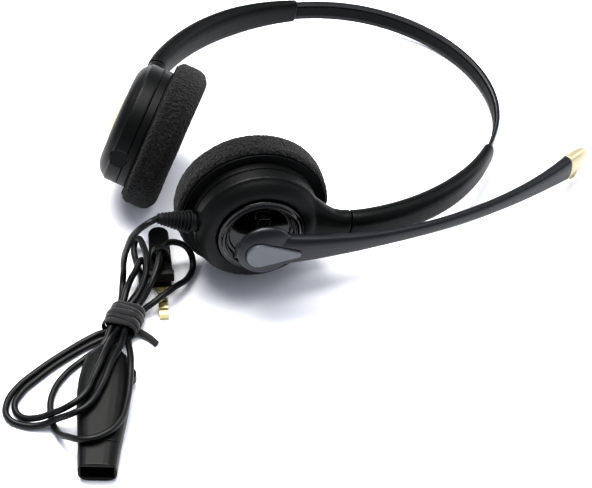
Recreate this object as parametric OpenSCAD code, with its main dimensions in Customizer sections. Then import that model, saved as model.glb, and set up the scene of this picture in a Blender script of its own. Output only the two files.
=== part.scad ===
// Two-ear telephone headset with a boom microphone, lying on a table with its cord tied in a bundle.
// X runs to the wearer's boom tip side, Y to the crown of the band, Z up from the table.

/* [Headband] */
// Radius of the crown of the spring band
crown_r = 57.5; // [56.5:0.5:58.5]
// Radius of the band's side stretches and of the arms
side_r = 91.5; // [89.5:0.5:93.5]
// Height of the spring band
band_w = 8; // [7:0.5:8.5]
// Thickness of the spring band
band_t = 1.2; // [0.8:0.1:1.4]

/* [Cups] */
// Diameter of a foam ear cushion
cushion_d = 57; // [54:1:58]
// Thickness of a foam ear cushion
cushion_h = 13.5; // [10:0.5:14]
// Diameter of a cup casing
casing_d = 47; // [46:0.5:49]
// Depth of a cup casing
casing_h = 12.5; // [12:0.5:14]

/* [Boom] */
// Length of the boom from the turret axis to the microphone tip
boom_len = 150; // [120:1:155]
// Radius of the boom's inward bend
boom_bend_r = 210; // [195:5:400]
// Angle of the boom above the arm, about the turret
boom_rest = 2; // [0:0.5:12]

/* [Cord] */
// Diameter of the cord
cord_d = 2.4; // [2:0.1:2.4]

/* [Hidden] */
$fn = 64;

// How the headset lies: the crown's place on the table, the turn of the band plane and its tilt
crown_place = [41.2, 64.8, 4.27];
lie_turn = -43.4;
lie_tilt = 10.65;
lie_bank = 2.25;
crown_half = 56.5;
side_c = [(crown_r - side_r) * sin(crown_half), -crown_r + (crown_r - side_r) * cos(crown_half), 0];
crown_a = 90 - crown_half;

// Arms: polar angles of the mouth, of the start of the neck bend and of the neck seam
mouth_a = 24;
bend_a = -22;
seam_a = -33.7;
neck_r = 35;
tail_a = 13;
run = 0.05;
gap = 0.3;
neck_x = 35;
neck_z = 7;
seam_h = 3;
far_turn = -10.4;
far_in = 2.5;
casing_r = casing_d / 2;
cushion_r = cushion_d / 2;
round_r = 7;
wall = 1.8;
hole_r = 16.2;
under = casing_h - wall;
tilt_z = under + 2.3;
floor_z = under - 1.2;
boss_y = 18.2;
boss_h = 7.5;
screw_r = 1.1;

function polar(a, r = 1) = [r * cos(a), r * sin(a), 0];
function smooth(t) = let (c = min(1, max(0, t))) c * c * (3 - 2 * c);
function mix(a, b, t) = a + (b - a) * t;
function at(list, t) = let (s = min(1, max(0, t)) * (len(list) - 1), i = min(len(list) - 2, floor(s)))
    mix(list[i], list[i + 1], s - i);
function unit(v) = v / norm(v);

// A rounded ring of points about c, half sizes a along ex and b along ey; p sets how square it is
function ring(c, ex, ey, a, b, p, n) = [for (i = [0:n - 1])
    let (t = 360 * (i + 0.5) / n, u = cos(t), v = sin(t))
    c + ex * a * sign(u) * pow(abs(u), 2 / p) + ey * b * sign(v) * pow(abs(v), 2 / p)];

// A closed skin over a list of rings
module skin(rings) {
    n = len(rings[0]);
    m = len(rings);
    polyhedron(points = [for (r = rings) each r], faces = concat(
        [[for (i = [0:n - 1]) i]],
        [[for (i = [n - 1:-1:0]) (m - 1) * n + i]],
        [for (k = [0:m - 2]) for (i = [0:n - 1]) let (j = (i + 1) % n)
            each [[k * n + i, (k + 1) * n + i, k * n + j], [k * n + j, (k + 1) * n + i, (k + 1) * n + j]]]));
}

module lie() {
    translate(crown_place) rotate([0, 0, lie_turn]) rotate([-lie_tilt, 0, 0]) rotate([0, lie_bank, 0]) children();
}

// The far arm is pushed in along the band by the angle far_in
module far_side(slide = far_in) {
    lie() mirror([1, 0, 0]) translate(side_c) rotate([0, 0, slide]) translate(-side_c) children();
}

// Ends of the arm centre line, in the band plane
bend_c = side_c + polar(bend_a, side_r - neck_r);
seam_c = bend_c + polar(seam_a, neck_r);
cup_x = polar(seam_a + 90);
cup_z = polar(seam_a);
cup_c = seam_c - cup_x * neck_x - cup_z * neck_z;

// A cup's own frame: X towards the arm, Z out of the ear
module cup_frame(turn = 0) {
    translate(cup_c) rotate([0, 0, seam_a + 90]) rotate([90, 0, 0])
        translate([0, 0, neck_z]) rotate([turn, 0, 0]) translate([0, 0, -neck_z]) children();
}

// ---- Arms -------------------------------------------------------------

arm_w = [4.9, 5.6, 6.2, 6.3, 6.2, 6.0, 5.8];
arm_t = [2.4, 3.0, 3.5, 3.8, 3.9, 3.9, 3.8];
arm_rings = 20;
bend_rings = 3;

// Half of a rounded ring: side 1 is the half away from the head, side -1 the half towards it
function half_ring(c, a, w, t, side) = [for (i = [0:10])
    let (b = 90 - 18 * i, u = sin(b), v = cos(b))
    c + [0, 0, side * w * sign(u) * pow(abs(u), 0.8)] + polar(a, side * t * pow(abs(v), 0.8))];

module arm_half(side) {
    arc = [for (i = [0:arm_rings]) let (t = i / (arm_rings + bend_rings), a = mix(mouth_a, bend_a, i / arm_rings))
        half_ring(side_c + polar(a, side_r), a, at(arm_w, t), at(arm_t, t), side)];
    bend = [for (i = [1:bend_rings]) let (t = (arm_rings + i) / (arm_rings + bend_rings),
        a = mix(bend_a, seam_a, i / bend_rings))
        half_ring(bend_c + polar(a, neck_r), a, at(arm_w, t), at(arm_t, t), side)];
    skin(concat(arc, bend));
}

// A square ring about c, t thick along the polar direction a and w high
function bar_ring(c, a, t, w) = [for (k = [[1, 1], [1, -1], [-1, -1], [-1, 1]])
    c + polar(a, k.x * t / 2) + [0, 0, k.y * w / 2]];

// A bent bar of the band's curve between two polar angles, at the radius side_r + off
module side_bar(from, to, t, w, off = 0) {
    n = ceil((to - from) / 2.4);
    skin([for (i = [0:n]) let (a = mix(from, to, i / n)) bar_ring(side_c + polar(a, side_r + off), a, t, w)]);
}

stop_t = 2.2;
stop_w = 9;
travel_in = 14;
travel_out = 1;
lead_t = 0.5;
lead_w = 4;
stud_r = 2.2;
stud_head_r = 3.1;

module arm_channel() {
    side_bar(tail_a, mouth_a + 1, band_t + 1.2, band_w + 0.6);
    side_bar(tail_a - travel_in - 3, tail_a + travel_out + 0.4, stop_t + 0.6, stop_w + 0.4);
}

module stud_axis() {
    translate(seam_c) rotate([0, 0, seam_a + 90]) rotate([0, 90, 0]) children();
}

module arm_shell(side) {
    color("#1b1c1e") difference() {
        arm_half(side);
        arm_channel();
        stud_axis() translate([0, 0, -1]) cylinder(r = stud_r, h = 7.5);
    }
}

module swivel_stud() {
    color("#8d9094") stud_axis() {
        translate([0, 0, -8]) cylinder(r = stud_r, h = 14.5);
        translate([0, 0, -10]) cylinder(r = stud_head_r, h = 2);
    }
}

// ---- Cup parts in the cup frame ---------------------------------------

// The casing's outline from its seam up
module casing_profile(shrink) {
    translate([0, seam_h - 1]) square([casing_r - shrink, 3 + round_r / 2]);
    translate([casing_r - round_r, casing_h - round_r]) circle(r = round_r - shrink, $fn = 48);
    translate([0, seam_h]) square([casing_r - round_r, casing_h - seam_h - shrink]);
    translate([0, seam_h - 1]) square([casing_r - shrink, casing_h - round_r - seam_h + 1]);
}

module neck_body() {
    skin([for (i = [0:7]) let (t = i / 7, x = mix(12, neck_x - gap, t))
        ring([x, 0, mix(7.2, neck_z, t)], [0, 1, 0], [0, 0, 1],
            mix(17, 5.8, smooth(t * 1.15)), 3.8, 2.6, 20)]);
}

module stud_bore() {
    translate([neck_x, 0, neck_z]) rotate([0, -90, 0]) {
        translate([0, 0, -1]) cylinder(r = stud_r + run, h = 10);
        translate([0, 0, 7.5]) cylinder(r = stud_head_r + gap, h = 6);
    }
}

module screw_bosses() {
    for (s = [-1, 1]) {
        translate([0, s * boss_y, seam_h]) cylinder(r = 2.2, h = boss_h - seam_h, $fn = 32);
        translate([-1.1, s * boss_y - (s < 0 ? 4.4 : 0), seam_h]) cube([2.2, 4.4, boss_h - seam_h]);
    }
}

module outer_shell(open_r) {
    color("#1b1c1e") difference() {
        union() {
            difference() {
                union() {
                    intersection() {
                        rotate_extrude($fn = 96) casing_profile(0);
                        translate([-40, -40, seam_h]) cube([80, 80, 20]);
                    }
                    neck_body();
                }
                intersection() {
                    rotate_extrude($fn = 96) casing_profile(wall);
                    translate([-40, -40, seam_h - 1]) cube([80, 80, under - seam_h + 1]);
                }
            }
            screw_bosses();
        }
        translate([0, 0, casing_h - 4]) cylinder(r = open_r, h = 8, $fn = 96);
        for (s = [-1, 1]) translate([0, s * boss_y, seam_h - 1]) cylinder(r = screw_r, h = 4, $fn = 24);
        stud_bore();
        relief_bore();
    }
}

relief_y = 0;
relief_z = 5.6;
relief_turn = 8;
relief_root = -casing_r + 1;
relief_r = 3.3;

// The strain relief's own frame: Z out along it
module relief_frame() {
    translate([relief_root, relief_y, relief_z]) rotate([0, 0, -relief_turn]) rotate([0, -90, 0]) children();
}

module relief_bore() {
    relief_frame() translate([0, 0, -4]) cylinder(r = relief_r, h = 6);
}

module inner_shell() {
    color("#1b1c1e") difference() {
        cylinder(r = casing_r, h = seam_h, $fn = 96);
        translate([0, 0, 1.2]) cylinder(r = casing_r - wall, h = seam_h, $fn = 96);
        translate([0, 0, -1]) cylinder(r = 15, h = 5);
        for (s = [-1, 1]) translate([0, s * boss_y, -1]) cylinder(r = screw_r, h = 4, $fn = 24);
        relief_bore();
    }
}

module baffle() {
    color("#101112") difference() {
        translate([0, 0, -2]) cylinder(r = 26.5, h = 1.8, $fn = 96);
        for (i = [0:5]) rotate([0, 0, i * 60 + 30]) translate([8, 0, -3]) cylinder(r = 1.6, h = 4, $fn = 24);
        translate([0, 0, -3]) cylinder(r = 2, h = 4, $fn = 24);
        for (s = [-1, 1]) translate([0, s * boss_y, -3]) cylinder(r = screw_r, h = 4, $fn = 24);
    }
}

module ear_cushion() {
    color("#141414") translate([0, 0, -cushion_h]) rotate_extrude($fn = 96) difference() {
        union() {
            square([cushion_r - 5, cushion_h - 0.4]);
            translate([0, 5]) square([cushion_r, cushion_h - 10.4]);
            for (y = [5, cushion_h - 5.4]) translate([cushion_r - 5, y]) circle(r = 5, $fn = 48);
        }
        translate([-1, cushion_h - 2.3]) square([27.8, 3]);
    }
}

module speaker() {
    color("#3a3c40") difference() {
        union() {
            cylinder(r = 14.7, h = 1.6);
            translate([0, 0, 1.6]) cylinder(r1 = 13, r2 = 8, h = 2.4);
        }
        translate([0, 0, -1]) cylinder(r = 4, h = 8);
    }
}

module speaker_magnet() {
    color("#8f9396") translate([0, 0, 4]) cylinder(r = 8, h = 3);
}

module casing_screws() {
    color("#707276") for (s = [-1, 1]) translate([0, s * boss_y, 0]) {
        translate([0, 0, -2.4]) cylinder(r = screw_r, h = 8, $fn = 24);
        translate([0, 0, -3.2]) cylinder(r = 1.9, h = 1.0, $fn = 24);
    }
}

module detent_spring() {
    color("#a9adb1") translate([0, 0, 8.2]) difference() {
        cylinder(r = 13, h = 0.5);
        translate([0, 0, -1]) cylinder(r = 9, h = 3);
    }
}

// Ribbed strain relief: a tapered core with ribs
relief_len = 15.2;
relief_ribs = 8;
module relief() {
    color("#1d1e20") relief_frame() difference() {
        union() {
            cylinder(r = relief_r, h = 2);
            translate([0, 0, 2]) cylinder(r1 = 3, r2 = 1.75, h = relief_len - 2);
            for (i = [0:relief_ribs - 1]) translate([0, 0, 2.8 + i * 1.45]) cylinder(r = 4.4 - i * 0.28, h = 0.8);
        }
        translate([0, 0, -1]) cylinder(r = cord_d / 2, h = relief_len + 2);
    }
}

// ---- Turret and boom ---------------------------------------------------

module boom_turn() {
    rotate([0, 0, boom_rest]) children();
}

ring_top = casing_h + 1;
module hub() {
    color("#0c0c0d") boom_turn() {
        difference() {
            union() {
                translate([0, 0, under - 1.6]) cylinder(r = 12.4, h = 2.5, $fn = 96);
                translate([0, 0, under - 0.2]) cylinder(r = hole_r - gap, h = ring_top - under + 0.2, $fn = 96);
                translate([0, 0, ring_top]) rotate_extrude($fn = 96) translate([13.9, 0]) circle(r = 0.8, $fn = 24);
            }
            translate([0, 0, floor_z + 1]) cylinder(r = 11.4, h = 8, $fn = 96);
            translate([0, 0, under + 0.7]) cylinder(r = 12.6, h = 8, $fn = 96);
        }
        for (s = [-1, 1]) difference() {
            translate([-2.2, s * 7.5 - 1.5, floor_z]) cube([4.4, 3, tilt_z + 1.7 - floor_z]);
            translate([0, 12, tilt_z]) rotate([90, 0, 0]) cylinder(r = 1.2, h = 24, $fn = 24);
        }
    }
}

module retainer() {
    color("#2a2b2d") translate([0, 0, under - 1.4]) difference() {
        cylinder(r = hole_r + 1.8, h = 1.1, $fn = 96);
        translate([0, 0, -1]) cylinder(r = 12.4, h = 4, $fn = 96);
    }
}

module pivot_pin() {
    color("#9a9da0") boom_turn() translate([0, 9, tilt_z]) rotate([90, 0, 0]) cylinder(r = 1.2, h = 18, $fn = 24);
}

boom_straight = 3;
boom_z = 21;
boom_w = [3, 6.6, 6.9, 5.9, 5.2, 4.5, 3.9, 3.3, 3.0, 2.8, 2.7, 2.7, 2.8, 2.9, 3.1, 3.4, 3.7, 4.1, 4.7, 5.5];
boom_t = [1.2, 2.8, 3.4, 3.2, 2.9, 2.6, 2.4, 2.1, 1.9, 1.8, 1.8, 1.8, 1.8, 1.9, 1.9, 2.0, 2.1, 2.3, 2.6, 2.9];
boom_back = 11;
root_r = 10.6;
tip_len = 13.5;
boom_rings = 38;

// A place along the boom's centre line, at arc length s from the turret axis, in the cup frame
function boom_ang(s) = max(0, s - boom_straight) / boom_bend_r * 180 / PI;
function boom_at(s) = let (a = boom_ang(s))
    [min(s, boom_straight) + boom_bend_r * sin(a), 0, boom_z - boom_bend_r * (1 - cos(a))];
function boom_ring(s, w, t, p = 2.4) = let (a = boom_ang(s))
    ring(boom_at(s), [0, 1, 0], [sin(a), 0, cos(a)], w, t, p, 20);

module boom_frame(s) {
    boom_turn() translate(boom_at(s)) rotate([0, boom_ang(s), 0]) children();
}

module arm_of_boom() {
    body_len = boom_len - tip_len;
    color("#1a1c20") difference() {
        boom_turn() union() {
            skin([for (i = [0:boom_rings]) let (t = i / boom_rings, s = mix(-boom_back, body_len, pow(t, 1.15)))
                boom_ring(s, at(boom_w, (s + boom_back) / (body_len + boom_back)),
                    at(boom_t, (s + boom_back) / (body_len + boom_back)))]);
            translate([0, 0, boom_z]) scale([1, 1, 0.34]) sphere(r = root_r, $fn = 40);
            translate([-2.2, -5.7, tilt_z - 1.9]) cube([4.4, 11.4, boom_z - tilt_z]);
        }
        boom_turn() translate([0, 12, tilt_z]) rotate([90, 0, 0]) cylinder(r = 1.2 + run, h = 24, $fn = 24);
        boom_turn() medallion_solid();
    }
}

// Teardrop badge let into the boom's root
module medallion_solid() {
    translate([1, 0, boom_z + 1.6]) linear_extrude(height = 2.3) hull() {
        translate([-3.5, 0]) circle(r = 5.1, $fn = 48);
        translate([10.5, 0]) circle(r = 1.2, $fn = 24);
    }
}

module medallion() {
    color("#6f7276") boom_turn() medallion_solid();
}

tip_from = boom_len - tip_len;
port_r = 1.9;

// The microphone port's own frame: Z out of it, on the lower edge of the boom's outer face
module port_frame() {
    boom_frame(tip_from + 3.5) translate([0, -3.4, 0]) rotate([20, 0, 0]) children();
}

module tip_cover() {
    color("#b9b0a2") difference() {
        boom_turn() skin([for (i = [0:8]) let (t = i / 8, s = mix(tip_from, boom_len, t), k = sqrt(1 - pow(t * 0.96, 4)))
            boom_ring(s, 5.5 * k + 0.15, 2.9 * k + 0.1)]);
        port_frame() translate([0, 0, 0.6]) cylinder(r = port_r, h = 6);
    }
}

module capsule() {
    color("#2c2c2e") port_frame() translate([0, 0, 0.6]) cylinder(r = port_r - run, h = 1);
}

module port_ring() {
    color("#b9b0a2") port_frame() translate([0, 0, 1.65]) difference() {
        cylinder(r = port_r - run, h = 1.1);
        translate([0, 0, -1]) cylinder(r = 1.1, h = 3);
    }
}

// ---- Band ---------------------------------------------------------------

// A strip along the whole band, from one tail to the other
module band_bar(t, w, off, tail) {
    n = ceil((crown_a - tail) / 2.4);
    m = 24;
    side = [for (i = [0:n - 1]) let (a = mix(tail, crown_a, i / n)) bar_ring(side_c + polar(a, side_r + off), a, t, w)];
    crown = [for (i = [0:m]) let (a = mix(crown_a, 180 - crown_a, i / m))
        bar_ring([0, -crown_r, 0] + polar(a, crown_r + off), a, t, w)];
    other = [for (i = [n - 1:-1:0]) let (a = mix(tail, crown_a, i / n), c = side_c + polar(a, side_r + off))
        bar_ring([-c.x, c.y, 0], 180 - a, t, w)];
    skin(concat(side, crown, other));
}

module spring_band() {
    color("#1f2022") band_bar(band_t, band_w, 0, tail_a);
}

module flat_lead() {
    color("#0f0f10") band_bar(lead_t, lead_w, -(band_t + lead_t) / 2, tail_a + 3);
}

module band_stop() {
    color("#2b2c2e") side_bar(tail_a - 2.4, tail_a, stop_t, stop_w);
}

// ---- Far cup trim -------------------------------------------------------

module cap() {
    color("#b9b3a6") translate([0, 0, casing_h - 0.6]) intersection() {
        translate([0, 0, -17]) sphere(r = 20, $fn = 96);
        cylinder(r = 12, h = 6, $fn = 96);
    }
}

module blank_plug() {
    color("#161718") relief_frame() translate([0, 0, -2.6]) cylinder(r = relief_r, h = 3.2);
}

// ---- Cord ----------------------------------------------------------------

route = [
    [-69.1, -69.1, 38.5], [-72.8, -72.2, 38.6], [-77.3, -71.7, 33], [-80.3, -69.7, 24],
    [-82.3, -66.7, 13], [-82.8, -66.2, 4.4], [-83.5, -80.7, 2.8], [-87, -91.8, 2.8],
    [-91.3, -93.2, 1.5], [-102.3, -102.2, 1.3], [-111.8, -111.7, 1.3], [-117.8, -119.2, 1.3],
    [-120.8, -126.7, 1.3], [-119.8, -133.2, 1.3], [-113.8, -136.7, 1.3], [-107.3, -137.2, 2.4],
    [-102.3, -136.7, 5], [-95.8, -137.7, 9.8], [-91.3, -135.2, 10.8], [-86.8, -125.7, 10.8],
    [-83.8, -113.7, 10.6], [-81.3, -104.7, 8.8], [-80.3, -94, 5.5], [-76.8, -82.8, 5.5],
    [-74.3, -79.2, 7.4], [-71.8, -74.7, 10.2], [-69.8, -68.2, 11.8], [-68.8, -59.7, 11.8],
    [-66.8, -55.2, 11.4], [-62.8, -53.2, 9.6], [-59.3, -53.2, 6.6], [-57.3, -56.7, 3.2],
    [-58.3, -63.2, 2.4], [-63.8, -72.2, 5.2], [-69.8, -78.7, 5.2], [-75.6, -83.4, 2.8],
    [-79, -94.4, 2.8], [-78.8, -100.2, 5.6], [-77.3, -110.2, 9.4], [-76.8, -121.7, 9.8],
    [-77.3, -132.2, 9.8], [-79.3, -141.7, 10.4], [-84.8, -148.2, 10.8], [-90.8, -150.2, 10.6],
    [-96.8, -146.7, 7.4], [-102.3, -138.7, 1.6], [-104.8, -130.7, 1.3], [-104.8, -121.7, 1.3],
    [-100.8, -112.2, 1.3], [-93.8, -104.2, 1.6], [-88.3, -101.2, 4.6], [-85.5, -92.4, 5.5],
    [-82, -81.2, 5.5], [-80.8, -74.2, 6.6], [-78.3, -64.2, 5.5], [-75.8, -57.2, 3.9],
    [-74.8, -58.7, 1.5], [-76.3, -68.2, 1.4], [-80.9, -81.5, 2.8], [-84.4, -93.8, 2.8],
    [-90.3, -96.2, 1.5], [-101.8, -105.2, 1.3], [-110.8, -114.7, 1.3], [-116.3, -122.2, 1.3],
    [-117.8, -128.2, 1.3], [-115.3, -132.7, 1.4], [-109.8, -134.7, 3], [-103.3, -134.2, 5.6],
    [-97.8, -134.2, 9.4], [-92.8, -130.2, 10.8], [-89.8, -121.7, 10.8], [-86.8, -110.7, 10.6],
    [-85.3, -102.7, 8.6], [-82.9, -93.2, 5.5], [-79.4, -82, 5.5], [-76.8, -77.7, 6.6],
    [-74.3, -68.2, 6.8], [-74.3, -60.7, 6.8], [-75.8, -52.7, 6.2], [-78.8, -47.2, 5],
    [-79.8, -49.2, 2.6], [-78.3, -56.7, 1.3], [-75.8, -70.2, 4.2], [-78.2, -82.5, 2.8],
    [-81.6, -93.6, 2.8], [-86.1, -102.7, 4.5]
];

function way(i) = unit(route[min(len(route) - 1, i + 1)] - route[max(0, i - 1)]);
function across(v, t) = unit(v - t * (v * t));
function sides(i) = i == 0 ? across([0, 0, 1], way(0)) : across(sides(i - 1), way(i));

module free_cord() {
    color("#202124") skin([for (i = [0:len(route) - 1]) let (e = sides(i), t = way(i))
        ring(route[i], e, cross(t, e), cord_d / 2, cord_d / 2, 2, 8)]);
}

tie_c = [-81.2, -87.7];
tie_turn = -17.5;
tie_len = 11;
tie_half = 2.6;
tie_r = 4;
module tie() {
    color("#1a1b1c") translate([tie_c.x, tie_c.y, 0]) rotate([0, 0, tie_turn]) translate([0, tie_len / 2, tie_r + 0.1])
        rotate([90, 0, 0]) linear_extrude(height = tie_len) difference() {
            hull() for (s = [-1, 1]) translate([s * tie_half, 0]) circle(r = tie_r, $fn = 32);
            hull() for (s = [-1, 1]) translate([s * tie_half, 0]) circle(r = tie_r - 0.8, $fn = 32);
        }
}

// ---- Clothing clip: X along the clip from its hinge end to its jaws ----------

clip_place = [-71.3, -40.2];
clip_turn = -84;
module clip_frame() {
    translate([clip_place.x, clip_place.y, 0]) rotate([0, 0, clip_turn]) children();
}

module clip_top() {
    color("#151617") clip_frame() difference() {
        union() {
            hull() {
                translate([4, 0, 3.4]) cylinder(r = 3.8, h = 1.6, $fn = 32);
                translate([27, -4.2, 5.2]) cube([1, 8.4, 3.2]);
            }
            hull() {
                translate([27, -4.6, 4.8]) cube([2, 9.2, 4.4]);
                translate([25, -4.2, 7]) cube([1, 8.4, 1]);
            }
            for (s = [-1, 1]) translate([12, s * 3.2 - 0.8, 1.5]) cube([5, 1.6, 4]);
            translate([19.8, 0, 10.4]) rotate([0, 82, 0]) translate([0, 0, -1.5]) cylinder(r = 3.4, h = 3);
        }
        translate([11.3, -2.4, 0]) cube([6.4, 4.8, 4.9]);
        translate([19.8, 0, 11.8]) rotate([0, 82, 0]) translate([0, 0, -5]) cylinder(r = 1.75, h = 10, $fn = 32);
        clip_hole(clip_pin_r);
    }
}

clip_pin_r = 0.85;
clip_axis = [14.5, 0, 2.7];
module clip_hole(r) {
    translate([clip_axis.x, 6, clip_axis.z]) rotate([90, 0, 0]) cylinder(r = r, h = 12, $fn = 24);
}

module clip_bottom() {
    color("#b8b196") clip_frame() difference() {
        union() {
            translate([2, -3.6, 0]) cube([26, 7.2, 1]);
            translate([27, -1.7, 0]) cube([16.5, 3.4, 3]);
            translate([12.5, -2.1, 0.9]) cube([4, 4.2, 3.1]);
        }
        clip_hole(clip_pin_r + run);
        for (i = [0:4]) translate([30 + i * 2.6, -3, 2.2]) cube([1.2, 6, 2]);
    }
}

module clip_axle() {
    color("#9b9b93") clip_frame() translate([clip_axis.x, 4, clip_axis.z]) rotate([90, 0, 0])
        cylinder(r = clip_pin_r, h = 8, $fn = 24);
}

module clip_coil() {
    color("#8b8b85") clip_frame() translate([7, 0, 2.3]) difference() {
        cylinder(r = 1.6, h = 1.2);
        translate([0, 0, -1]) cylinder(r = 1.1, h = 6);
    }
}

// ---- Quick-disconnect connector: X from the cord end to the mouth --------------

connector_place = [-86.1, -102.7];
connector_turn = -90;
module connector_frame() {
    translate([connector_place.x, connector_place.y, 0]) rotate([0, 0, connector_turn]) children();
}

rear_len = 46.5;
connector_len = 57.5;
shell_w = [3.5, 7.8, 8.8, 9.5, 9.7, 9.6, 9.2, 8.6, 8.1, 7.6];
shell_t = [3.0, 4.0, 4.4, 4.6, 4.6, 4.6, 4.6, 4.6, 4.6, 4.6];
shell_mid = 4.6;

module rear_shell() {
    color("#1c1d1f") connector_frame() difference() {
        union() {
            skin([for (i = [0:18]) let (t = i / 18)
                ring([rear_len * t, 0, shell_mid], [0, 1, 0], [0, 0, 1], at(shell_w, t), at(shell_t, t), 3, 24)]);
            translate([13, 7.9, 2.6]) cylinder(r = 3.2, h = 4, $fn = 48);
        }
        translate([-1, 0, 4.5]) rotate([0, 90, 0]) cylinder(r = cord_d / 2, h = 12);
        translate([10, -6, 1.6]) cube([rear_len, 12, 6]);
    }
}

module front_shell() {
    color("#1c1d1f") connector_frame() difference() {
        skin([for (i = [0:4]) let (t = i / 4)
            ring([mix(rear_len, connector_len, t), 0, shell_mid], [0, 1, 0], [0, 0, 1],
                mix(7.6, 6.9, t), mix(4.6, 4.5, t), 3.4, 24)]);
        translate([rear_len - 1, -5.8, 1.9]) cube([connector_len, 11.6, 5.6]);
    }
}

module carrier() {
    color("#101114") connector_frame() translate([rear_len - 3, -5.7, 1.95]) cube([5.5, 11.4, 5.5]);
}

module contacts() {
    color("#d9b45b") connector_frame() for (i = [0:3])
        translate([rear_len + 2.5, -4.45 + i * 2.5, 6.7]) cube([7, 1.4, 0.5]);
}

lie() cup_frame() outer_shell(hole_r);  // near_outer_shell
lie() cup_frame() inner_shell();  // near_inner_shell
lie() cup_frame() baffle();  // near_baffle
lie() cup_frame() ear_cushion();  // near_ear_cushion
lie() cup_frame() speaker();  // near_speaker
lie() cup_frame() speaker_magnet();  // near_speaker_magnet
lie() cup_frame() casing_screws();  // near_casing_screws
lie() cup_frame() detent_spring();  // boom_detent_spring
lie() cup_frame() relief();  // strain_relief
lie() cup_frame() hub();  // turret_hub
lie() cup_frame() retainer();  // turret_retainer
lie() cup_frame() pivot_pin();  // boom_pivot_pin
lie() cup_frame() arm_of_boom();  // boom_arm
lie() cup_frame() medallion();  // boom_medallion
lie() cup_frame() tip_cover();  // mic_tip_cover
lie() cup_frame() capsule();  // mic_capsule
lie() cup_frame() port_ring();  // mic_port_ring
lie() arm_shell(1);  // near_arm_outer
lie() arm_shell(-1);  // near_arm_inner
lie() swivel_stud();  // near_swivel_stud
lie() spring_band();  // headband
lie() flat_lead();  // speaker_lead
lie() band_stop();  // near_band_stop
far_side(0) band_stop();  // far_band_stop
far_side() arm_shell(1);  // far_arm_outer
far_side() arm_shell(-1);  // far_arm_inner
far_side() swivel_stud();  // far_swivel_stud
far_side() cup_frame(far_turn) outer_shell(10);  // far_outer_shell
far_side() cup_frame(far_turn) inner_shell();  // far_inner_shell
far_side() cup_frame(far_turn) baffle();  // far_baffle
far_side() cup_frame(far_turn) ear_cushion();  // far_ear_cushion
far_side() cup_frame(far_turn) speaker();  // far_speaker
far_side() cup_frame(far_turn) speaker_magnet();  // far_speaker_magnet
far_side() cup_frame(far_turn) casing_screws();  // far_casing_screws
far_side() cup_frame(far_turn) cap();  // far_cap
far_side() cup_frame(far_turn) blank_plug();  // far_blank_plug
free_cord();  // cord
tie();  // cord_tie
clip_top();  // clip_body
clip_bottom();  // clip_jaw
clip_axle();  // clip_pin
clip_coil();  // clip_spring
rear_shell();  // connector_rear_shell
front_shell();  // connector_front_shell
carrier();  // contact_carrier
contacts();  // connector_contacts
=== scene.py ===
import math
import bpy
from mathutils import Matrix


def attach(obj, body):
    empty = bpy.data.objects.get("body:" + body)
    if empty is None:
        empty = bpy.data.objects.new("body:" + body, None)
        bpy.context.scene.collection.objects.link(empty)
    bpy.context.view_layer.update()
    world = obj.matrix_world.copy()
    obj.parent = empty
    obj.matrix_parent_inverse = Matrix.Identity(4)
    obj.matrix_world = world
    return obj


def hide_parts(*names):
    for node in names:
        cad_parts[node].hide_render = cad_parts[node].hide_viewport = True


bl_info = {
    "name": "Office headset",
    "version": (1, 0, 0),
    "blender": (4, 5, 0),
    "location": "3D View > Sidebar > Headset",
    "description": "Finishes a two-ear telephone headset around its CAD frame",
    "category": "Object",
}

import bmesh
import bpy
from bpy.props import FloatProperty, FloatVectorProperty, IntProperty, PointerProperty
from bpy.types import Operator, Panel, PropertyGroup
from mathutils import Matrix, Vector

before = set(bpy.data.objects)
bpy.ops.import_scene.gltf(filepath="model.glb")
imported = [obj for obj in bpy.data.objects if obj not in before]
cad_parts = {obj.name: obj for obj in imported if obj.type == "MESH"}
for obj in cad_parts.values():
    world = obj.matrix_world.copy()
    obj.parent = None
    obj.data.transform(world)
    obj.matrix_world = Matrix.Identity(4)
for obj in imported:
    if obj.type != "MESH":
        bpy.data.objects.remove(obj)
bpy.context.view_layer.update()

MM = 0.001


def linear(text):
    """A linear colour from an sRGB hex value."""
    parts = [int(text[i : i + 2], 16) / 255 for i in (0, 2, 4)]
    return [p / 12.92 if p <= 0.04045 else ((p + 0.055) / 1.055) ** 2.4 for p in parts]


# ---- Where things lie, written in millimetres and degrees --------------------


def moved(x, y, z=0.0):
    return Matrix.Translation((x * MM, y * MM, z * MM))


def turned(degrees, axis):
    return Matrix.Rotation(math.radians(degrees), 4, axis)


# The band's own plane: X across the head, Y to the crown, Z along the band's height
LIE = moved(41.2, 64.8, 4.27) @ turned(-43.4, "Z") @ turned(-10.65, "X") @ turned(2.25, "Y")
# A cup's own frame: X to its arm, Z out of the ear, from the middle of the casing's back
CUP = moved(27.909, -142.085) @ turned(56.3, "Z") @ turned(90, "X")
NEAR = LIE @ CUP
# The far arm is pushed in by 2.5 degrees of the band's curve
PUSHED = moved(-28.352, -76.266) @ turned(2.5, "Z") @ moved(28.352, 76.266)
# The far cup is swivelled by 10.4 degrees about a line 7 mm above its casing's back
SWIVELLED = moved(0, 0, 7) @ turned(-10.4, "X") @ moved(0, 0, -7)
FAR = LIE @ Matrix.Scale(-1, 4, (1, 0, 0)) @ PUSHED @ CUP @ SWIVELLED
# The strain relief's own frame: Z out along it
RELIEF = NEAR @ moved(-22.5, 0, 5.6) @ turned(-8, "Z") @ turned(-90, "Y")
# The tie round the bundle: Y along the cord
TIE = moved(-81.2, -87.7, 4.1) @ turned(-17.5, "Z")

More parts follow.
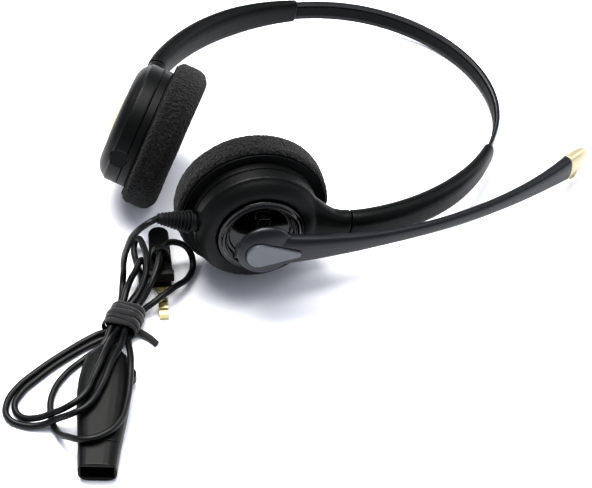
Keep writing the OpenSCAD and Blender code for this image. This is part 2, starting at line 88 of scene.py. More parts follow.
# The cord's line in millimetres, from the strain relief's tip to the back of the connector
ROUTE = [
    (-69.1, -69.1, 38.5), (-72.8, -72.2, 38.6), (-77.3, -71.7, 33), (-80.3, -69.7, 24),
    (-82.3, -66.7, 13), (-82.8, -66.2, 4.4), (-83.5, -80.7, 2.8), (-87, -91.8, 2.8),
    (-91.3, -93.2, 1.5), (-102.3, -102.2, 1.3), (-111.8, -111.7, 1.3), (-117.8, -119.2, 1.3),
    (-120.8, -126.7, 1.3), (-119.8, -133.2, 1.3), (-113.8, -136.7, 1.3), (-107.3, -137.2, 2.4),
    (-102.3, -136.7, 5), (-95.8, -137.7, 9.8), (-91.3, -135.2, 10.8), (-86.8, -125.7, 10.8),
    (-83.8, -113.7, 10.6), (-81.3, -104.7, 8.8), (-80.3, -94, 5.5), (-76.8, -82.8, 5.5),
    (-74.3, -79.2, 7.4), (-71.8, -74.7, 10.2), (-69.8, -68.2, 11.8), (-68.8, -59.7, 11.8),
    (-66.8, -55.2, 11.4), (-62.8, -53.2, 9.6), (-59.3, -53.2, 6.6), (-57.3, -56.7, 3.2),
    (-58.3, -63.2, 2.4), (-63.8, -72.2, 5.2), (-69.8, -78.7, 5.2), (-75.6, -83.4, 2.8),
    (-79, -94.4, 2.8), (-78.8, -100.2, 5.6), (-77.3, -110.2, 9.4), (-76.8, -121.7, 9.8),
    (-77.3, -132.2, 9.8), (-79.3, -141.7, 10.4), (-84.8, -148.2, 10.8), (-90.8, -150.2, 10.6),
    (-96.8, -146.7, 7.4), (-102.3, -138.7, 1.6), (-104.8, -130.7, 1.3), (-104.8, -121.7, 1.3),
    (-100.8, -112.2, 1.3), (-93.8, -104.2, 1.6), (-88.3, -101.2, 4.6), (-85.5, -92.4, 5.5),
    (-82, -81.2, 5.5), (-80.8, -74.2, 6.6), (-78.3, -64.2, 5.5), (-75.8, -57.2, 3.9),
    (-74.8, -58.7, 1.5), (-76.3, -68.2, 1.4), (-80.9, -81.5, 2.8), (-84.4, -93.8, 2.8),
    (-90.3, -96.2, 1.5), (-101.8, -105.2, 1.3), (-110.8, -114.7, 1.3), (-116.3, -122.2, 1.3),
    (-117.8, -128.2, 1.3), (-115.3, -132.7, 1.4), (-109.8, -134.7, 3), (-103.3, -134.2, 5.6),
    (-97.8, -134.2, 9.4), (-92.8, -130.2, 10.8), (-89.8, -121.7, 10.8), (-86.8, -110.7, 10.6),
    (-85.3, -102.7, 8.6), (-82.9, -93.2, 5.5), (-79.4, -82, 5.5), (-76.8, -77.7, 6.6),
    (-74.3, -68.2, 6.8), (-74.3, -60.7, 6.8), (-75.8, -52.7, 6.2), (-78.8, -47.2, 5),
    (-79.8, -49.2, 2.6), (-78.3, -56.7, 1.3), (-75.8, -70.2, 4.2), (-78.2, -82.5, 2.8),
    (-81.6, -93.6, 2.8), (-86.1, -102.7, 4.5),
]

# The camera stands back from its target, in metres, lifted and rolled a little
CAMERA_TARGET = Vector((-0.0188, -0.0432, 0))
CAMERA_AWAY = 1.0029
CAMERA_LIFT = math.radians(45.88)
CAMERA_ROLL = math.radians(1.2)
CAMERA_LENS_MM = 160.89
# Every light faces this point on the table
LIGHT_TARGET = Vector((-0.01, -0.03, 0))
LIGHTS = (
    # name, place, size in metres, power in watts, colour
    ("window light", (-0.4, 0.5, 1.6), 1.1, 27, "fffdf8"),
    ("ceiling light", (0.3, 0.1, 1.7), 1.3, 14, "ffffff"),
    ("side card", (1.2, 0.6, 0.5), 0.7, 3, "f6f8ff"),
)


# ---- Sizes and colours that a user would change ------------------------------


def colour(name, text, value):
    return FloatVectorProperty(
        name=name, description=text, subtype="COLOR", size=3, min=0, max=1, default=linear(value)
    )


def length(name, text, low, usual, high):
    """A length in metres with its range."""
    return FloatProperty(name=name, description=text, default=usual, min=low, max=high, unit="LENGTH")


class HeadsetSizes(PropertyGroup):
    foam_across: length("Foam across", "Diameter of an ear cushion", 0.05, 0.057, 0.06)
    foam_deep: length("Foam depth", "Thickness of an ear cushion", 0.01, 0.0135, 0.015)
    foam_crown: length("Foam crown", "How far the middle of a cushion's face is hollowed", 0, 0.0012, 0.003)
    foam_cells: length("Foam cells", "Height of the foam's cell walls above its pores", 0, 0.00035, 0.001)
    cord_across: length("Cord across", "Diameter of the cord", 0.002, 0.0024, 0.0028)
    rib_count: IntProperty(
        name="Relief ribs", description="Number of ribs on the strain relief", default=9, min=6, max=11
    )
    ribbon_wide: length("Ribbon width", "Width of the tie's ribbon", 0.001, 0.0026, 0.004)


class HeadsetColours(PropertyGroup):
    shell: colour("Shell", "Satin plastic of the cups and arms", "121312")
    boom: colour("Boom", "Satin plastic of the boom", "17191d")
    foam: colour("Foam", "Open-cell foam of the ear cushions", "141413")
    cord: colour("Cord", "Jacket of the cord", "0e0f10")
    trim: colour("Trim", "Painted cap and microphone tip", "b5ab8e")
    badge: colour("Badge", "Painted badge on the boom's root", "5b5f64")


# ---- Material helpers --------------------------------------------------------


def add(mat, kind, settings=(), inputs=(), links=()):
    """Adds one node with its settings, its input values and the links into it."""
    node = mat.node_tree.nodes.new(kind)
    for key, value in dict(settings).items():
        setattr(node, key, value)
    for key, value in dict(inputs).items():
        node.inputs[key].default_value = value
    for key, source in dict(links).items():
        mat.node_tree.links.new(source, node.inputs[key])
    return node


def started(name):
    """A new material with its shader, its output and the object's coordinates."""
    mat = bpy.data.materials.new(name)
    mat.use_nodes = True
    mat.node_tree.nodes.clear()
    shader = add(mat, "ShaderNodeBsdfPrincipled")
    add(mat, "ShaderNodeOutputMaterial", links={"Surface": shader.outputs["BSDF"]})
    place = add(mat, "ShaderNodeTexCoord").outputs["Object"]
    return mat, shader, place


def noise(mat, place, size_mm, detail=2.0, **more):
    """Noise whose blots are about this size."""
    inputs = {"Scale": 1 / (size_mm * MM), "Detail": detail, **more}
    return add(mat, "ShaderNodeTexNoise", inputs=inputs, links={"Vector": place}).outputs["Fac"]


def cells(mat, place, size_mm, output):
    """Cells about this far apart."""
    inputs = {"Scale": 1 / (size_mm * MM)}
    return add(mat, "ShaderNodeTexVoronoi", inputs=inputs, links={"Vector": place}).outputs[output]


def bumped(mat, height, strength, deep_mm):
    """A normal from a pattern taken as a height."""
    inputs = {"Strength": strength, "Distance": deep_mm * MM}
    return add(mat, "ShaderNodeBump", inputs=inputs, links={"Height": height}).outputs["Normal"]


def tone(mat, fac, low, high, start=0.3, end=0.7):
    """A ramp from one colour to another over the middle of a pattern."""
    ramp = add(mat, "ShaderNodeValToRGB", links={"Fac": fac})
    for point, spot, shade in zip(ramp.color_ramp.elements, (start, end), (low, high)):
        point.position = spot
        point.color = (*shade, 1)
    return ramp.outputs["Color"]


def span(mat, fac, low, high):
    """A pattern's 0 to 1 turned to the range low to high."""
    inputs = {"To Min": low, "To Max": high}
    return add(mat, "ShaderNodeMapRange", inputs=inputs, links={"Value": fac}).outputs["Result"]


def scaled(shade, by):
    return [c * by for c in shade]


def join(mat, shader, even=(), **links):
    """Sets the shader's even values by socket name, and links the patterns to it."""
    names = {"colour": "Base Color", "rough": "Roughness", "normal": "Normal"}
    for key, source in links.items():
        mat.node_tree.links.new(source, shader.inputs[names[key]])
    for key, value in dict(even).items():
        shader.inputs[key].default_value = value
    return mat


def moulded_plastic(name, shade, rough, grain_mm, grain_deep_mm, coat=0.0, shine=0.22):
    """Injection-moulded ABS or a like plastic, from a tool with a fine spark-eroded grain."""
    # The grain breaks up the highlight into a satin band, and the slow clouding, 14 mm across,
    # is the melt's own uneven gloss
    mat, shader, place = started(name)
    cloud = noise(mat, place, 14, 3.0, Roughness=0.6)
    grain = noise(mat, place, grain_mm)
    bump = bumped(mat, grain, 0.55, grain_deep_mm)
    even = {"IOR": 1.5, "Specular IOR Level": shine, "Coat Weight": coat, "Coat Roughness": 0.08}
    tint = tone(mat, cloud, scaled(shade, 0.82), scaled(shade, 1.2))
    gloss = span(mat, cloud, rough - 0.06, rough + 0.08)
    return join(mat, shader, even, colour=tint, rough=gloss, normal=bump)


def painted_trim(name, shade, metal):
    """Plastic with a sprayed metallic paint under clear lacquer."""
    # The flakes are drawn 0.5 mm across, far coarser than real ones, so that they show as a faint
    # sparkle, and the spray's unevenness is 8 mm across
    mat, shader, place = started(name)
    flake = cells(mat, place, 0.5, "Color")
    cloud = noise(mat, place, 8)
    level = add(mat, "ShaderNodeSeparateColor", links={"Color": flake}).outputs[0]
    bump = bumped(mat, level, 0.12, 0.02)
    even = {"Metallic": metal, "Coat Weight": 0.3, "Coat Roughness": 0.15}
    tint = tone(mat, cloud, scaled(shade, 0.93), shade)
    return join(mat, shader, even, colour=tint, rough=span(mat, level, 0.3, 0.42), normal=bump)


def bare_metal(name, text, rough, grain_mm):
    """Turned, rolled or plated metal with the faint lines of its making."""
    mat, shader, place = started(name)
    lines = noise(mat, place, grain_mm, 3.0, Distortion=0.4)
    bump = bumped(mat, lines, 0.2, 0.02)
    tint = tone(mat, lines, scaled(linear(text), 0.8), linear(text))
    gloss = span(mat, lines, rough - 0.06, rough + 0.1)
    return join(mat, shader, {"Metallic": 1.0}, colour=tint, rough=gloss, normal=bump)


def open_cell_foam(name, shade):
    """Reticulated polyurethane foam, cut and hot-formed: matt, with open pores."""
    # Pores are 0.9 mm apart, over twice the real ones, so that they show; the cell walls catch
    # the light between them. The colour is painted shade and painted light: it follows the fluff
    # noise that also lifts the bump, dark in the hollows and far lighter on the raised cell walls
    mat, shader, place = started(name)
    pores = cells(mat, place, 0.9, "Distance")
    fluff_and_pore_shade = noise(mat, place, 0.85, 3.0, Roughness=0.75)
    mix = {"settings": {"data_type": "FLOAT"}, "inputs": {0: 0.5}, "links": {2: pores, 3: fluff_and_pore_shade}}
    bump = bumped(mat, add(mat, "ShaderNodeMix", **mix).outputs[0], 1.0, 0.9)
    even = {"Roughness": 0.95, "Sheen Weight": 0.1, "Sheen Roughness": 0.6, "Specular IOR Level": 0.2}
    # Painted shade and highlight: dark where the fluff noise sinks the bump, over ten times lighter where it
    # lifts it
    tint = tone(mat, fluff_and_pore_shade, scaled(shade, 0.25), scaled(shade, 3.6), 0.4, 0.66)
    return join(mat, shader, even, colour=tint, normal=bump)


def cord_jacket(name, shade):
    """Extruded soft PVC: satin, with faint drag lines and finger marks."""
    # Finger marks are 4 mm across and drag lines 0.4 mm
    mat, shader, place = started(name)
    marks = noise(mat, place, 4, 3.0)
    bump = bumped(mat, noise(mat, place, 0.4), 0.2, 0.05)
    even = {"IOR": 1.52, "Specular IOR Level": 0.35}
    tint = tone(mat, marks, scaled(shade, 0.85), scaled(shade, 1.25))
    return join(mat, shader, even, colour=tint, rough=span(mat, marks, 0.36, 0.5), normal=bump)


def woven_ribbon(name, text):
    """Woven polyester ribbon, its threads drawn as crossing waves."""
    # Threads are 0.35 mm apart; a wave pattern at scale 1 repeats about 3.2 times in a metre
    mat, shader, place = started(name)
    spin = {"Rotation": (0, 0, math.radians(17.5))}
    turn = add(mat, "ShaderNodeMapping", inputs=spin, links={"Vector": place}).outputs["Vector"]
    threads = {"inputs": {"Scale": 1 / (0.35 * MM * 3.2), "Distortion": 0.3}, "links": {"Vector": turn}}
    warp, weft = (
        add(mat, "ShaderNodeTexWave", settings={"bands_direction": way}, **threads).outputs["Fac"]
        for way in ("X", "Y")
    )
    cross = {"settings": {"operation": "MULTIPLY"}, "links": {0: warp, 1: weft}}
    weave_and_thread_shade = add(mat, "ShaderNodeMath", **cross).outputs[0]
    bump = bumped(mat, weave_and_thread_shade, 0.5, 0.12)
    # Painted shade and highlight: the colour follows the weave's height, darker in the hollows between the
    # threads and lighter on their crossings
    tint = tone(mat, weave_and_thread_shade, scaled(linear(text), 0.6), scaled(linear(text), 1.5), 0.1, 0.8)
    return join(mat, shader, {"Roughness": 0.8, "Sheen Weight": 0.3}, colour=tint, normal=bump)


def white_laminate(name):
    """The table's top: flat and matt, with only a trace of gloss and a haze 60 mm across."""
    mat, shader, place = started(name)
    haze = noise(mat, place, 60)
    even = {"Roughness": 0.7, "Specular IOR Level": 0.15}
    return join(mat, shader, even, colour=tone(mat, haze, linear("f6f7fb"), linear("fafbfe")))


FINISHES = {}


def finish_named(key):
    """The finish of that name, made the first time it is asked for."""
    if key in FINISHES:
        return FINISHES[key]
    tints = bpy.context.scene.headset_colours
    makers = {
        # Satin ABS mouldings: a broad soft highlight on near-black
        "shell": lambda: moulded_plastic("ABS moulded satin shell", list(tints.shell), 0.4, 0.45, 0.05),
        "boom": lambda: moulded_plastic(
            "ABS moulded satin boom", list(tints.boom), 0.34, 0.45, 0.04, shine=0.5
        ),
        # Polished ABS ring and turret floor: mirror-like, almost no colour of its own
        "gloss": lambda: moulded_plastic("ABS polished turret", linear("0a0a0b"), 0.14, 0.8, 0.01, 0.6),
        # Glass-filled nylon inside the cups: dull and slightly grey
        "inside": lambda: moulded_plastic("nylon moulded baffle", linear("121314"), 0.62, 0.5, 0.08),
        # Moulded rubber of the relief: dry, hardly any highlight
        "rubber": lambda: moulded_plastic("rubber moulded relief", linear("18191a"), 0.56, 0.4, 0.08),
        # Black powder paint on rolled spring steel: a thin strip of clear reflection
        "band": lambda: moulded_plastic("spring steel painted black", linear("1a1b1c"), 0.3, 0.6, 0.02, 0.35),
        # Moulded polyester that holds the contacts
        "contact_body": lambda: moulded_plastic(
            "polyester moulded contact body", linear("14161c"), 0.4, 0.5, 0.04
        ),
        # Foam, cord jacket and ribbon have makers of their own
        "foam": lambda: open_cell_foam("polyurethane foam open-cell", list(tints.foam)),
        "cord": lambda: cord_jacket("PVC extruded cord jacket", list(tints.cord)),
        "ribbon": lambda: woven_ribbon("polyester woven ribbon", "121214"),
        # Champagne metallic paint: warm grey with a soft sheen
        "trim": lambda: painted_trim("metallic paint champagne", list(tints.trim), 0.45),
        # The same paint in a plain mid grey
        "badge": lambda: painted_trim("metallic paint mid grey", list(tints.badge), 0.35),
        # Nickel on brass at the clip's jaw, gold on the contacts, steels inside
        "nickel": lambda: bare_metal("nickel plated jaw", "c9bf9a", 0.28, 0.8),
        "gold": lambda: bare_metal("gold plated contact", "e0b25c", 0.24, 0.8),
        "steel": lambda: bare_metal("steel turned", "9a9da0", 0.3, 0.6),
        "zinc": lambda: bare_metal("steel zinc plated", "8c9094", 0.42, 0.6),
    }
    FINISHES[key] = makers[key]()
    return FINISHES[key]


# ---- Shape helpers -----------------------------------------------------------


def settle(name, bm, place, finish, body, nodes=()):
    """Puts a shape in its place in the shared frame and makes it a piece that rides on its body."""
    bm.transform(place)
    bmesh.ops.recalc_face_normals(bm, faces=bm.faces)
    for face in bm.faces:
        face.smooth = True
    mesh = bpy.data.meshes.new(name)
    bm.to_mesh(mesh)
    bm.free()
    piece = bpy.data.objects.new(name, mesh)
    bpy.context.scene.collection.objects.link(piece)
    mesh.materials.append(finish_named(finish))
    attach(piece, body)
    if nodes:
        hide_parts(*nodes)
    return piece


def baked(piece):
    """Applies a piece's modifiers."""
    depsgraph = bpy.context.evaluated_depsgraph_get()
    mesh = bpy.data.meshes.new_from_object(piece.evaluated_get(depsgraph))
    old = piece.data
    piece.modifiers.clear()
    piece.data = mesh
    mesh.name = piece.name
    bpy.data.meshes.remove(old)
    for face in mesh.polygons:
        face.use_smooth = True
    return piece


# An edge that turns by more than this is left sharp, and bevelled
SHARP = math.radians(38)
# Facets that turn by less than this are one flat face
FLAT = math.radians(0.6)


def crisp(bm):
    """Marks the edges that turn too far to be smooth."""
    for edge in bm.edges:
        edge.smooth = len(edge.link_faces) == 2 and edge.calc_face_angle(0) < SHARP


def welded(node):
    """A merged copy of a CAD node's mesh."""
    bm = bmesh.new()
    bm.from_mesh(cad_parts[node].data)
    bmesh.ops.remove_doubles(bm, verts=bm.verts, dist=0.001 * MM)
    return bm


def rounded_copy(node, body, finish, voxel_mm, passes):
    """A moulded copy of a CAD node whose edges and creases are rounded off as a mould rounds them."""
    piece = settle(node + "_finished", welded(node), Matrix.Identity(4), finish, body, (node,))
    grid = piece.modifiers.new("grid", "REMESH")
    grid.mode = "VOXEL"
    grid.voxel_size = voxel_mm * MM
    ease = piece.modifiers.new("ease", "SMOOTH")
    ease.factor = 0.5
    ease.iterations = passes
    return baked(piece)


def edged_copy(node, body, finish, width_mm):
    """A copy of a CAD node with its sharp edges bevelled."""
    bm = welded(node)
    bmesh.ops.dissolve_limit(bm, angle_limit=FLAT, verts=bm.verts, edges=bm.edges)
    crisp(bm)
    piece = settle(node + "_finished", bm, Matrix.Identity(4), finish, body, (node,))
    edge = piece.modifiers.new("edge", "BEVEL")
    edge.limit_method = "ANGLE"
    edge.angle_limit = SHARP
    edge.width = width_mm * MM
    edge.segments = 2
    edge.use_clamp_overlap = True
    edge.harden_normals = True
    return piece


def spun(points, steps):
    """A closed turned shape about Z from a profile of (radius, height) in millimetres."""
    bm = bmesh.new()
    verts = [bm.verts.new((r * MM, 0, z * MM)) for r, z in points]
    edges = [bm.edges.new(pair) for pair in zip(verts, verts[1:])]
    about = {"cent": (0, 0, 0), "axis": (0, 0, 1), "angle": math.tau}
    bmesh.ops.spin(bm, geom=verts + edges, steps=steps, use_merge=True, **about)
    bmesh.ops.remove_doubles(bm, verts=bm.verts, dist=0.002 * MM)
    bmesh.ops.recalc_face_normals(bm, faces=bm.faces)
    return bm


def arc(cx, cz, r, start, end, n):
    """Points along an arc, in degrees, for a profile."""
    steps = [math.radians(start + (end - start) * i / n) for i in range(n + 1)]
    return [(cx + r * math.cos(a), cz + r * math.sin(a)) for a in steps]


class HeadsetStep:
    """What every step shares: it builds its pieces from the sizes in the panel"""

    bl_options = {"REGISTER", "UNDO"}

    def execute(self, context):
        self.build(context.scene.headset_sizes)
        return {"FINISHED"}


# ---- Pieces ------------------------------------------------------------------


class HEADSET_OT_stage(HeadsetStep, Operator):
    """Lays the pale table, the soft lights and the camera"""

    bl_idname = "headset.stage"
    bl_label = "Table, lights and camera"

    def build(self, sizes):
        scene = bpy.context.scene
        scene.view_settings.view_transform = "Standard"
        scene.view_settings.look = "High Contrast"
        scene.view_settings.exposure = 0.3
        self.lay_table(scene)
        self.light_room(scene)
        self.aim_camera(scene)

    def lay_table(self, scene):
        bm = bmesh.new()
        bmesh.ops.create_grid(bm, x_segments=1, y_segments=1, size=3)
        mesh = bpy.data.meshes.new("table")
        bm.to_mesh(mesh)
        bm.free()
        table = bpy.data.objects.new("table", mesh)
        scene.collection.objects.link(table)
        mesh.materials.append(white_laminate("laminate white matt"))

    def light_room(self, scene):
        world = bpy.data.worlds.new("soft room")
        scene.world = world
        world.use_nodes = True
        sky = world.node_tree.nodes["Background"]
        sky.inputs["Color"].default_value = (*linear("eef3ff"), 1)
        sky.inputs["Strength"].default_value = 0.36
        for name, spot, size, power, tint in LIGHTS:
            lamp = bpy.data.lights.new(name, "AREA")
            lamp.shape = "SQUARE"
            lamp.size = size
            lamp.energy = power
            lamp.color = linear(tint)
            holder = bpy.data.objects.new(name, lamp)
            holder.location = spot
            holder.rotation_euler = (LIGHT_TARGET - Vector(spot)).to_track_quat("-Z", "Y").to_euler()
            scene.collection.objects.link(holder)

    def aim_camera(self, scene):
        lens = bpy.data.cameras.new("camera")
        lens.sensor_width = 36
        lens.sensor_fit = "HORIZONTAL"
        lens.lens = CAMERA_LENS_MM
        lens.clip_start = 0.01
        camera = bpy.data.objects.new("camera", lens)
        up = Vector((0, math.sin(CAMERA_LIFT), math.cos(CAMERA_LIFT)))
        side = Vector((1, 0, 0))
        back = Vector((0, -math.cos(CAMERA_LIFT), math.sin(CAMERA_LIFT)))
        across = side * math.cos(CAMERA_ROLL) + up * math.sin(CAMERA_ROLL)
        upright = up * math.cos(CAMERA_ROLL) - side * math.sin(CAMERA_ROLL)
        facing = Matrix((across, upright, back)).transposed().to_4x4()
        camera.matrix_world = Matrix.Translation(CAMERA_TARGET + back * CAMERA_AWAY) @ facing
        scene.collection.objects.link(camera)
        scene.camera = camera


class HEADSET_OT_cord(HeadsetStep, Operator):
    """Lays the cord along its route, twice round the bundle"""

    bl_idname = "headset.cord"
    bl_label = "Cord"

    def build(self, sizes):
        line = bpy.data.curves.new("cord_line", "CURVE")
        line.dimensions = "3D"
        line.resolution_u = 6
        line.bevel_depth = sizes.cord_across / 2
        line.bevel_resolution = 5
        line.use_fill_caps = True
        spline = line.splines.new("BEZIER")
        spline.bezier_points.add(len(ROUTE) - 1)
        for point, spot in zip(spline.bezier_points, ROUTE):
            point.co = Vector(spot) * MM
            point.handle_left_type = point.handle_right_type = "AUTO"
        cord = bpy.data.objects.new("cord_line", line)
        bpy.context.scene.collection.objects.link(cord)
        line.materials.append(finish_named("cord"))
        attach(cord, "near_cup")
        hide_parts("cord")


class HEADSET_OT_cushions(HeadsetStep, Operator):
    """Turns the two foam ear cushions and opens their cells"""

    bl_idname = "headset.cushions"
    bl_label = "Ear cushions"

    def outline(self, sizes):
        """Half a cushion's section in millimetres, from the middle of its face to the middle of its back."""
        # The outline is drawn 0.1 mm in, because the swell and the cells stand out from it
        r = sizes.foam_across / MM / 2 - 0.1
        deep = sizes.foam_deep / MM - 0.1
        hollow = sizes.foam_crown / MM
        # The face is hollowed over the middle 72% of its width
        face = [(r * 0.72 * i / 14, -deep + hollow * (1 - (i / 14) ** 2)) for i in range(15)]
        shoulder = arc(r - 5.6, -deep + 5.2, 5.2, -90, -8, 12)
        shoulder = [(x + (0.35 if z > -deep + 1.5 else 0), z) for x, z in shoulder]
        flank = [(r, -deep + 5.6), (r + 0.05, -deep * 0.5), (r - 0.1, -3.4)]
        heel = arc(r - 2.9, -3.4, 2.9, 0, 88, 10)
        # The back has a seat for the baffle's rim, 26.8 mm in radius
        seat_r, seat_lip, seat_floor = 26.8, -0.62, -2.35
        seat = [(seat_r, seat_lip), (seat_r, seat_floor), (20, seat_floor), (10, seat_floor), (0, seat_floor)]
        return face + shoulder + flank + [(x, z) for x, z in heel if x > seat_r + 0.1] + seat

    def build(self, sizes):
        for side, place, body in (("near", NEAR, "near_cup"), ("far", FAR, "far_cup")):
            bm = spun(self.outline(sizes), 260)
            piece = settle(side + "_foam", bm, place, "foam", body, (side + "_ear_cushion",))
            fine = piece.modifiers.new("fine", "SUBSURF")
            fine.levels = fine.render_levels = 1
            # The swell's lumps are about 9 mm across and the cells 0.9 mm
            for name, size, share in (("swell", 9 * MM, 0.8), ("cells", 0.9 * MM, 1.5)):
                lumps = bpy.data.textures.new(side + "_" + name, "CLOUDS")
                lumps.noise_scale = size
                lumps.noise_depth = 2
                push = piece.modifiers.new(name, "DISPLACE")
                push.texture = lumps
                push.texture_coords = "LOCAL"
                push.mid_level = 0.5
                push.strength = sizes.foam_cells * share
            baked(piece)


class HEADSET_OT_cups(HeadsetStep, Operator):
    """Finishes the cup casings, the turret and the far cap"""

    bl_idname = "headset.cups"
    bl_label = "Cup casings"

    def build(self, sizes):
        for side in ("near", "far"):
            body = side + "_cup"
            rounded_copy(side + "_outer_shell", body, "shell", 0.42, 6)
            edged_copy(side + "_inner_shell", body, "shell", 0.3)
        rounded_copy("turret_hub", "turret", "gloss", 0.26, 3)
        edged_copy("far_cap", "far_cup", "trim", 0.25)
        edged_copy("far_blank_plug", "far_cup", "shell", 0.2)


class HEADSET_OT_arms(HeadsetStep, Operator):
    """Finishes the arms and the spring band"""

    bl_idname = "headset.arms"
    bl_label = "Arms and band"

    def build(self, sizes):
        for side in ("near", "far"):
            for half in ("outer", "inner"):
                rounded_copy(f"{side}_arm_{half}", side + "_arm", "shell", 0.4, 4)
        edged_copy("headband", "band", "band", 0.25)


class HEADSET_OT_boom(HeadsetStep, Operator):
    """Finishes the boom, its badge and the microphone tip"""

    bl_idname = "headset.boom"
    bl_label = "Boom"

    def build(self, sizes):
        rounded_copy("boom_arm", "boom", "boom", 0.32, 4)
        edged_copy("boom_medallion", "boom", "badge", 0.3)
        rounded_copy("mic_tip_cover", "boom", "trim", 0.22, 3)
        edged_copy("mic_port_ring", "boom", "trim", 0.15)


class HEADSET_OT_relief(HeadsetStep, Operator):
    """Turns the ribbed strain relief"""

    bl_idname = "headset.relief"
    bl_label = "Strain relief"

    def build(self, sizes):
        tall, bore = 15.2, 1.25
        collar_r, collar_top = 3.28, 2.0
        ribs_from, pitch = 2.5, 11.6 / sizes.rib_count
        rib_r = 0.36
        profile = [(bore, -0.02), (collar_r, 0), (collar_r, collar_top)]
        for i in range(sizes.rib_count):
            low = ribs_from + i * pitch
            crest = 4.45 - 2.3 * i / sizes.rib_count
            root = 3.1 - 1.25 * i / sizes.rib_count
            rib = arc(crest - rib_r, low + 0.2 + rib_r, rib_r, -90, 90, 6)
            profile += [(root, low)] + rib + [(root, low + 1.0)]
        profile += [(1.9, tall - 0.3), (1.7, tall), (bore, tall), (bore, -0.02)]
        bm = spun(profile, 48)
        settle("relief_ribs", bm, RELIEF, "rubber", "near_cup", ("strain_relief",))


class HEADSET_OT_clip(HeadsetStep, Operator):
    """Finishes the clothing clip"""

    bl_idname = "headset.clip"
    bl_label = "Clothing clip"

    def build(self, sizes):
        rounded_copy("clip_body", "near_cup", "shell", 0.24, 3)
        edged_copy("clip_jaw", "clip_jaw", "nickel", 0.2)


class HEADSET_OT_connector(HeadsetStep, Operator):
    """Finishes the quick-release connector"""

    bl_idname = "headset.connector"
    bl_label = "Connector"

    def build(self, sizes):
        rounded_copy("connector_rear_shell", "near_cup", "shell", 0.3, 4)
        rounded_copy("connector_front_shell", "near_cup", "shell", 0.26, 3)
        edged_copy("contact_carrier", "near_cup", "contact_body", 0.15)
        edged_copy("connector_contacts", "near_cup", "gold", 0.12)


# Each wrap of the tie: its place along the cord, its lean in degrees and how far its ring is grown
WRAPS = ((-4.2, 5, 0.0), (-1.9, -4, 0.15), (0.3, 3, 0.3), (2.4, -6, 0.1), (4.3, 4, -0.1))
# The ribbon's width is drawn out in three strips: the share of the width, and the crown it gains or loses
STRIPS = ((0.25, 0.05), (0.5, 0.0), (0.25, -0.05))


class HEADSET_OT_tie(HeadsetStep, Operator):
    """Wraps the ribbon tie round the bundle"""

    bl_idname = "headset.tie"
    bl_label = "Ribbon tie"

    def wrap(self, bm, wide, spot, lean, grow):
        """A flattened ring of ribbon, crowned along its middle, a little turned against the last."""
        before = set(bm.verts)
        ring = bmesh.ops.create_circle(bm, cap_ends=False, radius=(3.55 + grow) * MM, segments=36)["verts"]
        bmesh.ops.rotate(bm, verts=ring, cent=(0, 0, 0), matrix=Matrix.Rotation(math.pi / 2, 3, "X"))
        # Each half of the ring is moved out by 2.6 mm, which flattens it
        for way in (-1, 1):
            half = [v for v in ring if v.co.x * way > 0.1 * MM]
            bmesh.ops.translate(bm, verts=half, vec=(way * 2.6 * MM, 0, 0))
        loop = [e for e in bm.edges if e.verts[0] in ring and e.verts[1] in ring]
        for share, crown in STRIPS:
            made = bmesh.ops.extrude_edge_only(bm, edges=loop)["geom"]
            drawn = [g for g in made if isinstance(g, bmesh.types.BMVert)]
            loop = [g for g in made if isinstance(g, bmesh.types.BMEdge)]
            bmesh.ops.translate(bm, verts=drawn, vec=(0, wide * share, 0))
            bmesh.ops.scale(bm, verts=drawn, vec=(1 + crown, 1, 1 + crown))
        new = [v for v in bm.verts if v not in before]
        bmesh.ops.rotate(bm, verts=new, cent=(0, 0, 0), matrix=Matrix.Rotation(math.radians(lean), 3, "Z"))
        bmesh.ops.translate(bm, verts=new, vec=(0, spot * MM - wide / 2, 0))

    def tail(self, bm, wide):
        """The ribbon's end, which comes off the side of the wraps, drops to the table and lies there."""
        half_long = 5.5 * MM
        before = set(bm.verts)
        bmesh.ops.create_grid(bm, x_segments=12, y_segments=2, size=1)
        end = [v for v in bm.verts if v not in before]
        bmesh.ops.scale(bm, verts=end, vec=(half_long, wide / 2, 1))
        for v in end:
            along = v.co.x / half_long * 0.5 + 0.5
            v.co.z += (2.2 * (1 - along) ** 2 - 3.3) * MM
            v.co.y += 1.2 * MM * math.sin(along * 3)
        bmesh.ops.rotate(bm, verts=end, cent=(0, 0, 0), matrix=Matrix.Rotation(math.radians(-14), 3, "Z"))
        bmesh.ops.translate(bm, verts=end, vec=(9.2 * MM, -3.4 * MM, 0))

    def build(self, sizes):
        wide = sizes.ribbon_wide
        bm = bmesh.new()
        for spot, lean, grow in WRAPS:
            self.wrap(bm, wide, spot, lean, grow)
        self.tail(bm, wide)
        piece = settle("tie_wraps", bm, TIE, "ribbon", "near_cup", ("cord_tie",))
        wall = piece.modifiers.new("wall", "SOLIDIFY")
        wall.thickness = 0.45 * MM
        wall.offset = 0
        baked(piece)


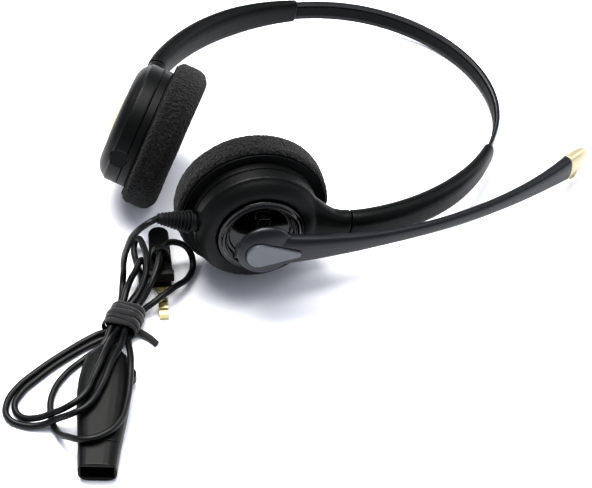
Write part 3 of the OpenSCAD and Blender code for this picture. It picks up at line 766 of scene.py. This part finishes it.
INSIDE = {
    "inside": (
        "near_baffle",
        "far_baffle",
        "near_speaker",
        "far_speaker",
        "turret_retainer",
        "mic_capsule",
        "near_band_stop",
        "far_band_stop",
        "speaker_lead",
    ),
    "steel": (
        "near_speaker_magnet",
        "far_speaker_magnet",
        "boom_pivot_pin",
        "near_swivel_stud",
        "far_swivel_stud",
        "boom_detent_spring",
        "clip_pin",
        "clip_spring",
    ),
    "zinc": ("near_casing_screws", "far_casing_screws"),
}


class HEADSET_OT_inside(HeadsetStep, Operator):
    """Gives the parts inside the cups and arms their finishes"""

    bl_idname = "headset.inside"
    bl_label = "Inner parts"

    def build(self, sizes):
        for finish, names in INSIDE.items():
            for name in names:
                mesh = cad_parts[name].data
                mesh.materials.clear()
                mesh.materials.append(finish_named(finish))


STEPS = (
    HEADSET_OT_inside,
    HEADSET_OT_cups,
    HEADSET_OT_arms,
    HEADSET_OT_boom,
    HEADSET_OT_cushions,
    HEADSET_OT_relief,
    HEADSET_OT_clip,
    HEADSET_OT_connector,
    HEADSET_OT_tie,
    HEADSET_OT_cord,
    HEADSET_OT_stage,
)


class HEADSET_PT_panel(Panel):
    bl_label = "Office headset"
    bl_idname = "HEADSET_PT_panel"
    bl_space_type = "VIEW_3D"
    bl_region_type = "UI"
    bl_category = "Headset"

    def draw(self, context):
        for group in (context.scene.headset_sizes, context.scene.headset_colours):
            for name in group.__annotations__:
                self.layout.prop(group, name)
        for step in STEPS:
            self.layout.operator(step.bl_idname)


CLASSES = (HeadsetSizes, HeadsetColours, *STEPS, HEADSET_PT_panel)


def register():
    for cls in CLASSES:
        bpy.utils.register_class(cls)
    bpy.types.Scene.headset_sizes = PointerProperty(type=HeadsetSizes)
    bpy.types.Scene.headset_colours = PointerProperty(type=HeadsetColours)


def unregister():
    del bpy.types.Scene.headset_colours
    del bpy.types.Scene.headset_sizes
    for cls in reversed(CLASSES):
        bpy.utils.unregister_class(cls)


def main():
    register()
    for step in STEPS:
        group, name = step.bl_idname.split(".")
        getattr(getattr(bpy.ops, group), name)()


if __name__ == "__main__":
    main()
